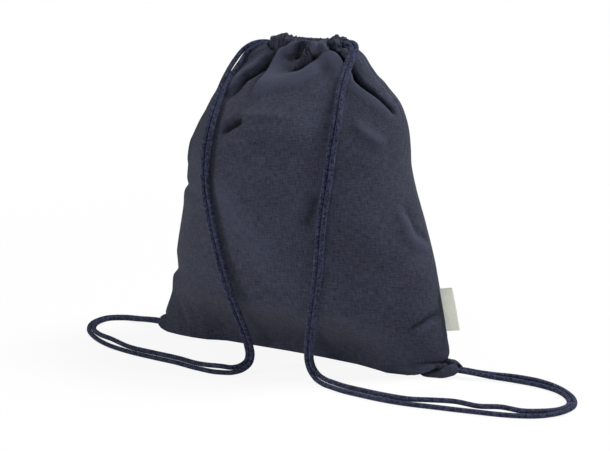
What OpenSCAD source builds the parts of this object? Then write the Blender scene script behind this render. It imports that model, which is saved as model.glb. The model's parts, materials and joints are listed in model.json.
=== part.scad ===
// Drawstring backpack, filled and standing on its base.
// Two cloth panels are sewn together at both sides and along the bottom.
// Each panel ends in a gathered hem channel. Two drawstrings run through both
// channels, leave them at opposite sides and are sewn into the bottom corners.
// Millimetres: +X right, the straps lie on the front (-Y), +Z up, floor at z = 0.

/* [Bag] */
// Height of the filled bag, from the floor to the top of the hem
bag_h = 334; // [278:1:402]
// Width of the base between the bottom corners, without their tips
base_w = 334; // [278:1:402]
// Depth of the patch that rests on the floor
base_d = 52; // [42:1:64]
// Width just above the floor
heel_w = 329; // [274:1:396]
// Depth just above the floor
heel_d = 94; // [78:1:114]
// Width low on the body, where the wall has rounded up from the floor
hip_w = 320; // [266:1:384]
// Depth low on the body
hip_d = 130; // [108:1:156]
// Width at the fullest depth
belly_w = 254; // [211:1:305]
// Fullest depth of the body
belly_d = 180; // [150:1:216]
// Width where the body starts to close
chest_w = 230; // [191:1:276]
// Depth where the body starts to close
chest_d = 160; // [133:1:192]
// Width at the shoulders
shoulder_w = 188; // [156:1:226]
// Depth at the shoulders
shoulder_d = 100; // [83:1:120]
// Width just below the gathers
yoke_w = 152; // [126:1:183]
// Depth just below the gathers
yoke_d = 68; // [56:1:82]
// How far the pinched corner tips stand out past the base
tip_len = 12; // [8:0.5:16]
// Thickness of the cloth
cloth_t = 0.8; // [0.6:0.05:1.2]

/* [Heights] */
// Height of the heel above the floor
heel_z = 20; // [17:1:24]
// Height of the low body above the floor
hip_z = 50; // [42:1:60]
// How far the fullest depth lies below the hem
belly_drop = 127; // [106:1:153]
// How far below the hem the body starts to close
chest_drop = 72; // [60:1:87]
// How far the shoulders lie below the hem
shoulder_drop = 33; // [28:1:40]
// How far the top of the shoulders lies below the hem
yoke_drop = 17.5; // [14.5:0.5:21]

/* [Mouth] */
// Width of the drawn mouth, between the middles of the hem's ends
mouth_w = 82; // [68:1:99]
// Depth of the drawn mouth, between the middles of both hems
mouth_d = 26; // [21.5:0.5:32]
// How far the mouth sits to the right of the base's middle
mouth_shift = 8; // [0:1:12]
// Gathers across each panel
gathers = 10; // [6:1:12]
// How far a gather stands out
gather_depth = 1.6; // [0.8:0.1:2.2]
// Height below the hem over which the gathers fade out
gather_fade = 60; // [40:1:80]
// Height of the flat stitched edge under the channel
stitch_h = 4; // [3:0.5:6]

/* [Drawstrings] */
// Diameter of a drawstring
cord_d = 5; // [4:0.25:6]
// Clearance around a drawstring in its channel, and at its cut ends
cord_fit = 0.3; // [0.2:0.05:0.5]
// Length of each cord end sewn into a bottom corner
sewn_len = 14; // [10:1:18]
// Height of the sewn cord ends above the floor
sewn_z = 8; // [7.2:0.1:8.8]
// How far a drawstring runs straight on out of its channel
lead = 3; // [2:0.5:4]
// Gap between the two cords of a strap where they lie together
strap_gap = 0.2; // [0.1:0.05:0.5]
// Room between the two hems at their ends, on each side of the middle
end_room = 1.8; // [1.2:0.1:3]

/* [Seams] */
// Width of the seam allowance that stands inside the bag
seam_w = 8; // [6:1:12]
// Thickness of the two overlocked cloth edges
seam_t = 1.6; // [1.2:0.1:2.4]
// Clearance between a seam allowance and the cloth
seam_gap = 0.3; // [0.2:0.05:0.5]
// How far a side seam's allowance stops below the hem
seam_stop = 10; // [8:1:14]
// Clearance between the bottom seam's ends and the sewn cord ends
seam_end_gap = 4; // [2:0.5:8]

/* [Label] */
// How far the folded label stands out of the seam
label_w = 14; // [10:1:18]
// Length of the label along the seam
label_h = 42; // [34:1:52]
// Thickness of the label's tape
label_t = 0.4; // [0.3:0.05:0.6]
// Space between the two layers of the label
label_slot = 0.4; // [0.3:0.1:0.8]
// Height of the label's lower end above the floor
label_z = 47; // [40:1:60]
// Width of the label's stitched edge, where its layers are pressed together
label_root = 2; // [1.5:0.5:3]
// Clearance between the label and the seam
label_gap = 0.6; // [0.5:0.05:0.8]

/* [Hidden] */

cloth_blue = [0.21, 0.22, 0.28];
cord_navy = [0.17, 0.18, 0.29];
label_cream = [0.73, 0.74, 0.68];

facets = 3;                    // columns of facets in each gather
columns = gathers * facets;
gather_start = 6;              // height below the hem over which a gather grows
uneven = 0.25;                 // how much the gathers differ, as a share of their depth
gather_turn = 97;              // angle that makes each gather differ from the next
cord_sides = 8;
ring_step = 14;                // distance between the rings of a cord
probe = 0.05;                  // step for slopes taken from the surface itself

// Hem channel, measured from its lower edge
low_cord_h = stitch_h + cloth_t + cord_fit + cord_d / 2;
high_cord_h = low_cord_h + cord_d + cord_fit;
hem_h = high_cord_h + cord_d / 2 + cord_fit + cloth_t;
hem_z = bag_h - hem_h;
pocket_r = cord_d / 2 + cord_fit;
edge_r = cloth_t + 0.1;        // half the thickness of the stitched edge
ripple = 0.5;                  // how far the hem's top edge rises and falls
ripple_turn = 137;             // angle that makes each ripple differ from the next
mouth_a = mouth_w / 2;
mouth_b = mouth_d / 2;
exit_y = pocket_r + cloth_t + end_room;    // both hems end clear of each other
exit_s = sqrt(1 - pow(exit_y / mouth_b, 2));
low_cord_z = hem_z + low_cord_h;
high_cord_z = hem_z + high_cord_h;

// Corner tips: a short duct that holds two cords side by side
duct_y = cord_d + 5 * cord_fit + cloth_t;
duct_z = sewn_z + cord_d / 2 + 3 * cord_fit + 3 * cloth_t;
tip_fade = 8;                  // height over which a corner tip fades into the side
duct_round = 2.5;              // how square the duct's section is
side_y = (cord_d + strap_gap) / 2;         // half the distance between the two cords of a strap

// Stations of the body: height, half width, half depth
belly_z = hem_z - belly_drop;
chest_z = hem_z - chest_drop;
yoke_z = hem_z - yoke_drop;
stations = [
    [0, base_w / 2, base_d / 2],
    [heel_z, heel_w / 2, heel_d / 2],
    [hip_z, hip_w / 2, hip_d / 2],
    [belly_z, belly_w / 2, belly_d / 2],
    [chest_z, chest_w / 2, chest_d / 2],
    [hem_z - shoulder_drop, shoulder_w / 2, shoulder_d / 2],
    [yoke_z, yoke_w / 2, yoke_d / 2],
    [hem_z, mouth_a + edge_r, mouth_b + edge_r]
];
last_station = len(stations) - 1;

// ---- Interpolation ----
function unit(v) = v / norm(v);
function ease(t) = let (c = max(0, min(1, t))) c * c * (3 - 2 * c);
function slope(k, c) =
    (stations[k + 1][c] - stations[k][c]) / (stations[k + 1][0] - stations[k][0]);
function tangent(k, c) =
    k == 0 ? slope(0, c)
    : k == last_station ? slope(last_station - 1, c)
    : let (l = slope(k - 1, c), r = slope(k, c)) l * r <= 0 ? 0 : 2 * l * r / (l + r);
function hermite(p, m, q, n, t) =
    (2 * t * t * t - 3 * t * t + 1) * p + (t * t * t - 2 * t * t + t) * m
    + (3 * t * t - 2 * t * t * t) * q + (t * t * t - t * t) * n;
function station_at(z) =
    max([for (k = [0 : last_station - 1]) if (k == 0 || stations[k][0] <= z) k]);
function profile(z, c) =
    let (k = station_at(z), h = stations[k + 1][0] - stations[k][0],
         t = (z - stations[k][0]) / h)
    hermite(stations[k][c], h * tangent(k, c), stations[k + 1][c], h * tangent(k + 1, c), t);

// ---- The body's surface ----
function half_w(z) = profile(z, 1) + tip_len * (1 - ease((z - duct_z) / tip_fade));
function half_d(z) = profile(z, 2);
// How far the body has closed, from the chest to the hem
function closing(z) = ease((z - chest_z) / (hem_z - chest_z));
function middle_x(z) = mouth_shift * closing(z);
function duct(z) =
    z >= duct_z ? 0 : duct_y * pow(1 - pow(z / duct_z, duct_round), 1 / duct_round);
// How full the section is, across its width and in its depth: a wide lens on the floor,
// rounder on the body, and an ellipse at the mouth
floor_full = [3.2, 0.85];
body_full = [2, 0.6];
mouth_full = [2, 0.5];
settle_z = 60;                 // height where the floor's shape has faded
function fullness(c, z) =
    floor_full[c] + (body_full[c] - floor_full[c]) * ease(z / settle_z)
    + (mouth_full[c] - body_full[c]) * ease((z - belly_z) / (yoke_z - belly_z));
// Columns crowd towards the seams on the body and spread evenly at the hem
function spread(u, z) =
    let (k = closing(z)) (1 - k) * sin(180 * u - 90) + k * (2 * u - 1);
function lens(s, z) = pow(max(0, 1 - pow(abs(s), fullness(0, z))), fullness(1, z));
function wall(u, z) =
    let (s = spread(u, z), d = duct(z))
    [middle_x(z) + s * half_w(z), -d - (half_d(z) - d) * lens(s, z), z];
// Outward direction of the wall; on a seam it stays in the plane of the seam
function outward(u, z) =
    let (u0 = max(0, u - probe / 10), u1 = min(1, u + probe / 10),
         z0 = max(0, z - probe), z1 = min(hem_z, z + probe),
         n = cross(wall(u1, z) - wall(u0, z), wall(u, z1) - wall(u, z0)))
    u == 0 || u == 1 ? unit([n[0] + (u - 0.5) * probe, 0, n[2]]) : unit(n);
// How far the gather at a column of facets stands out when it is full
function gather_size(i) =
    i % facets == 0 ? 0
    : gather_depth * (1 - uneven + uneven * sin(gather_turn * floor(i / facets)));
function gather(i, z) =
    let (drop = hem_z - z)
    gather_size(i) * ease(drop / gather_start) * (1 - ease((drop - gather_start) / gather_fade));

// Heights of the rows of facets: close together in the corner tips, then so many between
// one station and the next, from the hip to the hem
duct_rows = [0, 0.35 * duct_z, 0.7 * duct_z, 0.9 * duct_z, duct_z + 0.5];
tip_rows = [for (t = [0.3, 0.65, 1]) duct_z + t * tip_fade];
row_counts = [2, 4, 2, 3, 2, 3];
body_rows = [
    for (k = [0 : len(row_counts) - 1])
        let (low = k == 0 ? duct_z + tip_fade : stations[k + 1][0], high = stations[k + 2][0])
        for (i = [1 : row_counts[k]]) low + (high - low) * i / row_counts[k]
];
rows = [each duct_rows, each tip_rows, each body_rows];
clear = 0.02;                  // how far a panel's inside stays off the middle plane

function outer_row(z) =
    [for (i = [0 : columns]) let (u = i / columns) wall(u, z) + gather(i, z) * outward(u, z)];
function inner_point(i, z) =
    let (u = i / columns, p = wall(u, z) + gather(i, z) * outward(u, z), n = outward(u, z),
         on_seam = i == 0 || i == columns)
    z == 0 ? [p[0], min(0, p[1] + cloth_t), cloth_t]
    : on_seam && duct(z) > cloth_t ? [p[0], p[1] + cloth_t, z]
    : z == hem_z
        ? let (f = unit([n[0], n[1], 0]))
          [p[0] - cloth_t * f[0], on_seam ? 0 : p[1] - cloth_t * f[1], z]
    : let (q = p - cloth_t * n) [q[0], on_seam ? 0 : min(q[1], -clear), q[2]];
function inner_row(z) = [for (i = [0 : columns]) inner_point(i, z)];
// The part that lies on the floor, from the bottom seam to the floor edge
function floor_row(t, z) = [for (p = outer_row(0)) [p[0], t * p[1], z]];

module panel() {
    outside = [floor_row(0, 0), for (z = rows) outer_row(z)];
    inside = [floor_row(0, cloth_t), for (z = rows) inner_row(z)];
    shell(outside, inside);
}

// A thin shell between two grids of points with the same number of rows and columns
module shell(outside, inside) {
    n = len(outside);
    m = len(outside[0]);
    back = n * m;
    points = [for (r = outside) each r, for (r = inside) each r];
    faces = [
        for (j = [0 : n - 2], i = [0 : m - 2])
            let (a = j * m + i, b = a + 1, c = a + m, d = c + 1)
            each [[a, c, b], [b, c, d], [back + a, back + b, back + c], [back + b, back + d, back + c]],
        for (i = [0 : m - 2])
            let (a = i, b = i + 1, c = (n - 1) * m + i, d = c + 1)
            each [[a, b, back + a], [b, back + b, back + a], [c, back + c, d], [d, back + c, back + d]],
        for (j = [0 : n - 2])
            let (a = j * m, b = a + m, c = a + m - 1, d = c + m)
            each [[a, back + a, b], [b, back + a, back + b], [c, d, back + c], [d, back + d, back + c]]
    ];
    polyhedron(points, faces);
}

module front_panel() {
    color(cloth_blue) panel();
}

module back_panel() {
    color(cloth_blue) mirror([0, 1, 0]) panel();
}

// ---- Hem channels ----
// Rings of the channel: middle, outward direction and how far its gather stands out
function hem_s(i) = exit_s * (2 * i / columns - 1);
function hem_middle(s) = [mouth_shift + mouth_a * s, -mouth_b * sqrt(1 - s * s)];
function hem_outward(s) = unit([s * mouth_b, -sqrt(1 - s * s) * mouth_a]);
function pleat(i) = i == 0 || i == columns ? 0 : gather_size(i);
function hem_outline(f, top) =
    let (out = pocket_r + cloth_t + f, low = low_cord_h - 0.3 * cord_d,
         high = high_cord_h + 0.2 * cord_d, brow = 0.75 * pocket_r, crest = hem_h - ripple + top)
    [
        [-edge_r, 0], [edge_r, 0], [edge_r + 0.1, stitch_h], [out, low], [out, high],
        [brow, crest], [-brow, crest], [-out, high], [-out, low], [-edge_r - 0.1, stitch_h]
    ];
// The pocket is half an octagon below the lower cord and half above the upper one
corner = tan(22.5) * pocket_r;
halfway = cos(45) * pocket_r;
pocket_outline = [
    [-corner, low_cord_h - pocket_r], [corner, low_cord_h - pocket_r],
    [halfway, low_cord_h - halfway], [pocket_r, low_cord_h - corner],
    [pocket_r, high_cord_h + corner], [corner, high_cord_h + pocket_r],
    [-corner, high_cord_h + pocket_r], [-pocket_r, high_cord_h + corner],
    [-pocket_r, low_cord_h - corner], [-halfway, low_cord_h - halfway]
];
function hem_ring(outline, s) =
    let (m = hem_middle(s), n = hem_outward(s))
    [for (p = outline) [m[0] + p[0] * n[0], m[1] + p[0] * n[1], hem_z + p[1]]];

module hem_channel() {
    sides = len(pocket_outline);
    back = (columns + 1) * sides;
    points = [
        for (i = [0 : columns])
            each hem_ring(hem_outline(pleat(i), ripple * sin(ripple_turn * i)), hem_s(i)),
        for (i = [0 : columns]) each hem_ring(pocket_outline, hem_s(i))
    ];
    last = columns * sides;
    faces = [
        for (i = [0 : columns - 1], k = [0 : sides - 1])
            let (a = i * sides + k, b = i * sides + (k + 1) % sides, c = a + sides, d = b + sides)
            each [[a, b, c], [b, d, c], [back + a, back + c, back + b], [back + b, back + c, back + d]],
        for (k = [0 : sides - 1])
            let (a = k, b = (k + 1) % sides, c = last + a, d = last + b)
            each [[a, back + a, b], [b, back + a, back + b], [c, d, back + c], [d, back + d, back + c]]
    ];
    polyhedron(points, faces);
}

module front_hem_channel() {
    color(cloth_blue) hem_channel();
}

module back_hem_channel() {
    color(cloth_blue) mirror([0, 1, 0]) hem_channel();
}

// ---- Seam allowances, standing inside the bag ----
// Where the inside of the wall meets the side seam, and the way into the bag from there
function seam_line(z) =
    let (n = outward(1, z), in = cloth_t + seam_gap) [half_w(z) - in * n[0], z - in * n[2]];
seam_rows = [for (z = [each tip_rows, each body_rows]) if (z <= hem_z - seam_stop) z];

module side_seam(side) {
    rings = [
        for (z = seam_rows)
            let (e = seam_line(z), n = outward(1, z), x = middle_x(z))
            [
                [x + side * e[0], -seam_gap / 2, e[1]],
                [x + side * e[0], seam_gap / 2, e[1]],
                [x + side * (e[0] - seam_w * n[0]), seam_t / 2, e[1] - seam_w * n[2]],
                [x + side * (e[0] - seam_w * n[0]), -seam_t / 2, e[1] - seam_w * n[2]]
            ]
    ];
    skin(side > 0 ? rings : [for (i = [len(rings) - 1 : -1 : 0]) rings[i]]);
}

// A closed solid through a list of rings with the same number of points
module skin(rings) {
    n = len(rings);
    m = len(rings[0]);
    polyhedron([for (r = rings) each r], [
        [for (k = [0 : m - 1]) k],
        [for (k = [m - 1 : -1 : 0]) (n - 1) * m + k],
        for (j = [0 : n - 2], k = [0 : m - 1])
            let (a = j * m + k, b = j * m + (k + 1) % m)
            each [[a, a + m, b], [b, a + m, b + m]]
    ]);
}

module left_side_seam() {
    color(cloth_blue) side_seam(-1);
}

module right_side_seam() {
    color(cloth_blue) side_seam(1);
}

module bottom_seam() {
    seam_len = base_w + 2 * (tip_len - sewn_len - seam_end_gap);
    color(cloth_blue)
    translate([-seam_len / 2, seam_t / 2, cloth_t])
    rotate([90, 0, 0])
    linear_extrude(seam_t)
    polygon([[0, 0], [seam_len, 0], [seam_len - seam_w, seam_w], [seam_w, seam_w]]);
}

// ---- Drawstrings ----
// Ring centres pts, with the direction in ups that each ring's first point leans to
function along(pts, i) = unit(pts[min(len(pts) - 1, i + 1)] - pts[max(0, i - 1)]);
function cord_ring(pts, ups, i) =
    let (t = along(pts, i), side = unit(cross(t, ups[i])), up = cross(side, t))
    [for (k = [0 : cord_sides - 1])
        let (a = 360 * k / cord_sides) pts[i] + cord_d / 2 * (cos(a) * side + sin(a) * up)];

module cord(pts, ups) {
    skin([for (i = [0 : len(pts) - 1]) cord_ring(pts, ups, i)]);
}

// Inside both channels: the loop of the mouth, open at the side where the cord leaves
loop_rings = 40;
exit_angle = asin(exit_y / mouth_b);
module drawstring_in_hem(side, z) {
    turn = 180 - exit_angle;
    end_x = mouth_shift + side * (mouth_a * exit_s + lead);
    pts = [
        [end_x, -exit_y, z],
        for (i = [0 : loop_rings])
            let (a = turn * (2 * i / loop_rings - 1))
            [mouth_shift - side * mouth_a * cos(a), mouth_b * sin(a), z],
        [end_x, exit_y, z]
    ];
    cord(pts, [for (p = pts) [0, 0, 1]]);
}

module left_drawstring_in_hem() {
    color(cord_navy) drawstring_in_hem(-1, low_cord_z);
}

module right_drawstring_in_hem() {
    color(cord_navy) drawstring_in_hem(1, high_cord_z);
}

// Routes of the straps: x, y, z of the middle between the strap's two cords, how far
// the side that faces away from what they lie on leans from up (0) to the front (90),
// and the distance between the two cords
close = 2 * side_y;
lie_z = cord_d / 2 + 0.1;
exit_x = mouth_a * exit_s + lead + cord_fit;
tip_x = base_w / 2 + tip_len + cord_fit;
// Height of a strap's middle line where its lower cord lies on the floor
function lie(lean, spread = close) = lie_z + spread / 2 * sin(lean);
left_route = [
    [mouth_shift - exit_x, 0, low_cord_z, 0, 2 * exit_y], [-36.5, 0, 325.3, 0, 2 * exit_y],
    [-43, -1, 325.4, 6, 9.8], [-51, -4.5, 323.5, 20, 8], [-59, -10, 317.5, 42, 6.8],
    [-64.5, -18, 307, 58, 7.2], [-68.5, -28, 295.5, 66, 6], [-70, -39, 284, 70, close],
    [-69, -51, 272, 75, close], [-68, -66, 254, 80, close], [-69, -77, 225, 90, close],
    [-67, -83, 195, 90, close], [-61, -86, 164, 90, close], [-55, -84, 131, 90, close],
    [-50, -82, 108, 90, close], [-44, -79, 83, 90, close], [-35, -77, 57, 90, close],
    [-28, -76, 40, 90, close], [-24, -75, 26, 90, close], [-22, -76, 17, 87, close],
    [-22.5, -79, 10.5, 80, close], [-25.5, -85, 6.6, 70, close], [-32, -92.5, lie(60), 60, close],
    [-45, -98, lie(53, 6.6), 53, 6.6], [-70, -98, lie(50), 50, close],
    [-98, -93, lie(50), 50, close], [-130, -90, lie(50), 50, close],
    [-162, -86, lie(50), 50, close], [-192, -77, lie(45, 7.5), 45, 7.5],
    [-218, -63, lie(30, 6), 30, 6], [-238, -44, lie(10), 10, close], [-247, -22, lie_z, 0, close],
    [-243, -4, lie_z, 0, close], [-228, 6, lie_z, 0, close], [-207, 5, 4.6, 0, close],
    [-192, 1, sewn_z - 0.8, 0, close], [-tip_x - 4, 0, sewn_z, 0, close],
    [-tip_x, 0, sewn_z, 0, close]
];
right_route = [
    [mouth_shift + exit_x, 0, high_cord_z, 0, 2 * exit_y],
    [50.4, 0, high_cord_z, 0, 2 * exit_y], [54, -0.8, 329.9, 5, 10.2],
    [57.3, -2.7, 328.4, 13, 9.3], [59.9, -6.2, 325.8, 35, 7.5], [60.8, -11.6, 321.4, 60, 5.8],
    [61, -20, 314, 75, close], [61.5, -31, 303, 80, close], [63, -43, 291, 82, close],
    [66, -55, 277, 85, close], [68, -64, 264, 87, close], [68, -75, 237, 90, close],
    [67, -82, 209, 90, close], [64, -86, 180, 90, close], [61, -86, 150, 90, close],
    [58, -84, 119, 90, close], [52, -80, 86, 90, close], [47, -78, 54, 90, close],
    [45, -77, 31, 90, close], [45.5, -76.5, 21, 87, close], [48.5, -77, 13.5, 80, close],
    [54.5, -78.5, 7.6, 70, close], [64, -82, lie(60), 60, close], [76, -86.5, lie(54), 54, close],
    [88, -90, lie(50), 50, close], [110, -93, lie(50), 50, close], [134, -95, lie(50), 50, close],
    [160, -94, lie(50), 50, close], [184, -90, lie(50, 7), 50, 7], [203, -87, lie(50, 8), 50, 8],
    [226, -84, lie(50, 6), 50, 6], [247, -80, lie(50, 7.5), 50, 7.5], [266, -75, lie(45), 45, close],
    [284, -65, lie(35), 35, close], [296, -51, lie(20), 20, close], [301, -32, lie(5), 5, close],
    [295, -13, lie_z, 0, close], [280, 2, lie(10), 10, close], [258, 10, lie(20, 6), 20, 6],
    [232, 10, 4.4, 20, 6], [207, 6, 5.2, 10, close], [192, 1.5, sewn_z - 0.8, 0, close],
    [tip_x + 4, 0, sewn_z, 0, close], [tip_x, 0, sewn_z, 0, close]
];

// A smooth curve through a route's points, with slopes weighted by distance
function gap(route, i) = norm([for (c = [0 : 2]) route[i + 1][c] - route[i][c]]);
function route_slope(route, i) =
    i == 0 ? (route[1] - route[0]) / gap(route, 0)
    : i == len(route) - 1 ? (route[i] - route[i - 1]) / gap(route, i - 1)
    : let (d = gap(route, i - 1), e = gap(route, i))
      ((route[i] - route[i - 1]) / d * e + (route[i + 1] - route[i]) / e * d) / (d + e);
function smooth(route) = [
    for (i = [0 : len(route) - 2])
        let (d = gap(route, i), n = max(1, round(d / ring_step)))
        for (k = [0 : n - 1])
            hermite(route[i], d * route_slope(route, i),
                    route[i + 1], d * route_slope(route, i + 1), k / n),
    route[len(route) - 1]
];
function away(row) = [0, -sin(row[3]), cos(row[3])];
function place(row) = [row[0], row[1], row[2]];

module strap_run(route, side) {
    steps = smooth(route);
    mid = [for (r = steps) place(r)];
    ups = [for (r = steps) away(r)];
    pts = [
        for (i = [0 : len(steps) - 1])
            mid[i] + side * steps[i][4] / 2 * unit(cross(along(mid, i), ups[i]))
    ];
    cord(pts, ups);
}

module left_strap_front_run() {
    color(cord_navy) strap_run(left_route, -1);
}

module left_strap_back_run() {
    color(cord_navy) strap_run(left_route, 1);
}

module right_strap_front_run() {
    color(cord_navy) strap_run(right_route, 1);
}

module right_strap_back_run() {
    color(cord_navy) strap_run(right_route, -1);
}

// The cut ends of a strap's two cords, held in the bottom corner
module sewn_ends(side) {
    for (y = [-side_y, side_y])
        translate([side * (base_w / 2 + tip_len), y, sewn_z])
        rotate([0, -90 * side, 0])
        cylinder(h = sewn_len, d = cord_d, $fn = 24);
}

module left_strap_sewn_ends() {
    color(cord_navy) sewn_ends(-1);
}

module right_strap_sewn_ends() {
    color(cord_navy) sewn_ends(1);
}

// ---- Label: a folded tape that stands out of the right side seam ----
label_foot = half_w(label_z);
label_head = half_w(label_z + label_h);
label_lean = atan2(label_foot - label_head, label_h);
// A tape folded on itself, pressed together at its stitched edge and open above and below
module tape_section() {
    inner_r = label_slot / 2;
    outer_r = inner_r + label_t;
    far = label_w - outer_r;
    difference() {
        union() {
            polygon([
                [0, -label_t / 2], [label_root, -outer_r], [far, -outer_r],
                [far, outer_r], [label_root, outer_r], [0, label_t / 2]
            ]);
            translate([far, 0]) circle(r = outer_r, $fn = 32);
        }
        translate([label_root, -inner_r]) square([far - label_root, label_slot]);
        translate([far, 0]) circle(r = inner_r, $fn = 32);
    }
}

module side_label() {
    color(label_cream)
    translate([label_foot + label_gap, 0, label_z])
    rotate([0, -label_lean, 0])
    linear_extrude(label_h)
    tape_section();
}

front_panel();
back_panel();
front_hem_channel();
back_hem_channel();
left_side_seam();
right_side_seam();
bottom_seam();
left_drawstring_in_hem();
right_drawstring_in_hem();
left_strap_front_run();
left_strap_back_run();
right_strap_front_run();
right_strap_back_run();
left_strap_sewn_ends();
right_strap_sewn_ends();
side_label();
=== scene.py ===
"""A filled drawstring backpack: woven cotton, braided drawstrings and a folded side label.

Metres: +X right, the straps lie on the front (-Y), +Z up, floor at z = 0. Routes, folds,
outlines and the drawstrings' places are listed in millimetres.
"""

import json
import math

import bmesh
import bpy
import numpy as np
from bpy.props import FloatProperty, FloatVectorProperty, IntProperty, PointerProperty
from mathutils import Matrix, Vector


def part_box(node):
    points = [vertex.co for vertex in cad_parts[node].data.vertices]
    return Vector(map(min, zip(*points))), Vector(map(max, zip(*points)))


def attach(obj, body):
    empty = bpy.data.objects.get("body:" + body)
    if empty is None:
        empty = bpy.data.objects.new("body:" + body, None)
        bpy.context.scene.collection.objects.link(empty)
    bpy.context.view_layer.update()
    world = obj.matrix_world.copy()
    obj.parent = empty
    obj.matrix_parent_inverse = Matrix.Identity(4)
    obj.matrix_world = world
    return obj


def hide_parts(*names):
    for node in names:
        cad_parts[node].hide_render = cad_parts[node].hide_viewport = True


bl_info = {
    "name": "Drawstring Backpack",
    "version": (1, 0, 0),
    "blender": (4, 5, 0),
    "location": "View3D > Sidebar > Backpack",
    "description": "Builds a filled cotton backpack with braided drawstrings and a side label",
    "category": "Add Mesh",
}

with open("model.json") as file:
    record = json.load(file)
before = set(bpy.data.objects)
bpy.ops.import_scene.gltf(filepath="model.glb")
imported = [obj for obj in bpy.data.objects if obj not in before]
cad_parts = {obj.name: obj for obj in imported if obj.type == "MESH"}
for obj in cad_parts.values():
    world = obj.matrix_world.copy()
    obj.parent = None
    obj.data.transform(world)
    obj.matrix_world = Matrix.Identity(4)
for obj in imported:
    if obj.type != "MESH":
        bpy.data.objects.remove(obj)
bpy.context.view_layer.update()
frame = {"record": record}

MM = 0.001
SHIFT = 8.0                        # how far the mouth sits to the right, in millimetres
MOUTH_HALF = 41.9                  # half width of the panels where the hem starts
HEM_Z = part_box("front_panel")[1].z
LABEL_FOOT, LABEL_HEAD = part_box("side_label")
SEAM_AXIS = frame["record"]["behaviour"]["joints"][0]["axis"]
LABEL_LEAN = math.atan2(-SEAM_AXIS[0], SEAM_AXIS[2])    # how far the side seam leans at the label
# The tape's height along the seam; its box is a little taller, because it leans
TAPE = (LABEL_HEAD.z - LABEL_FOOT.z) / math.cos(LABEL_LEAN) * 0.985


# ---- Sizes and colours that can be changed ----


def length(name, description, default):
    return FloatProperty(name=name, description=description, default=default, unit="LENGTH")


def station(name, description, default):
    return FloatVectorProperty(
        name=name, description=description, size=3, default=default, subtype="XYZ_LENGTH"
    )


def colour(name, description, default):
    return FloatVectorProperty(
        name=name, description=description, size=3, default=default, subtype="COLOR", min=0, max=1
    )


class BagShape(bpy.types.PropertyGroup):
    """The bag's stations, each a height, a width and a depth, and its cloth"""

    base: station("Base", "Height, width and depth on the floor", (0, 0.334, 0.052))
    heel: station("Heel", "Height, width and depth just above the floor", (0.020, 0.329, 0.094))
    hip: station("Hip", "Height, width and depth of the low body", (0.050, 0.320, 0.130))
    belly: station("Belly", "Height, width and depth at its fullest", (0.1905, 0.254, 0.180))
    chest: station("Chest", "Height, width and depth where it closes in", (0.2455, 0.230, 0.160))
    shoulder: station("Shoulder", "Height, width and depth above that", (0.2845, 0.188, 0.100))
    yoke: station("Yoke", "Height, width and depth below the gathers", (0.300, 0.152, 0.068))
    mouth: station(
        "Mouth", "Height, width and depth of the mouth", (HEM_Z, 2 * MOUTH_HALF * MM, 0.0278)
    )
    mouth_shift: length("Mouth shift", "How far the mouth sits to the right", SHIFT * MM)
    tip: length("Corner tip", "How far the corner tips stand out", 0.012)
    cloth: length("Cloth", "Thickness of the cloth", 0.0008)
    cut_width: length("Cut width", "Width that a panel was cut to", 0.380)
    cut_length: length("Cut length", "Length that a panel was cut to, up to its hem", 0.385)


class CordShape(bpy.types.PropertyGroup):
    """The drawstrings"""

    diameter: length("Diameter", "Diameter of a drawstring", 0.005)
    strands: IntProperty(
        name="Strands", description="Strands that wind each way round a cord", default=6, min=2
    )
    pitch: length("Pitch", "Distance from one strand to the next along a cord", 0.0024)
    relief: length("Relief", "Depth of the grooves between strands", 0.0007)
    sides: IntProperty(name="Sides", description="Sides of a cord's mesh", default=24, min=8)
    rim: length("Rim", "Rounding of a cord's cut end", 0.0004)


class Colours(bpy.types.PropertyGroup):
    """Base colours of the finishes"""

    cloth: colour("Cloth", "Slate navy cotton", (0.036, 0.040, 0.065))
    cord: colour("Cord", "Navy drawstring", (0.033, 0.039, 0.082))
    thread: colour("Thread", "Sewing thread", (0.046, 0.050, 0.078))
    label: colour("Label", "Cream label tape", (0.86, 0.88, 0.77))
    floor: colour("Floor", "Pale studio floor", (0.88, 0.88, 0.88))


# ---- Shaders ----

# The places of a Mix node's sockets for colours
MIX_FACTOR, MIX_LOW, MIX_HIGH, MIX_RESULT = 0, 6, 7, 2


class Field:
    """A shader socket that Python's operators work on; each adds a Math node"""

    def __init__(self, finish, socket):
        self.finish = finish
        self.socket = socket

    def math(self, operation, *values):
        return self.finish.node("ShaderNodeMath", {"operation": operation}, values)

    def __add__(self, other):
        return self.math("ADD", self, other)

    def __sub__(self, other):
        return self.math("SUBTRACT", self, other)

    def __rsub__(self, other):
        return self.math("SUBTRACT", other, self)

    def __mul__(self, other):
        return self.math("MULTIPLY", self, other)

    def sine(self):
        return self.math("SINE", self)

    def clamped(self, low, high):
        """From 0 at the low value to 1 at the high one"""
        return self.finish.node("ShaderNodeMapRange", inputs=[self, low, high, 0.0, 1.0])

    __radd__ = __add__
    __rmul__ = __mul__


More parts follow.
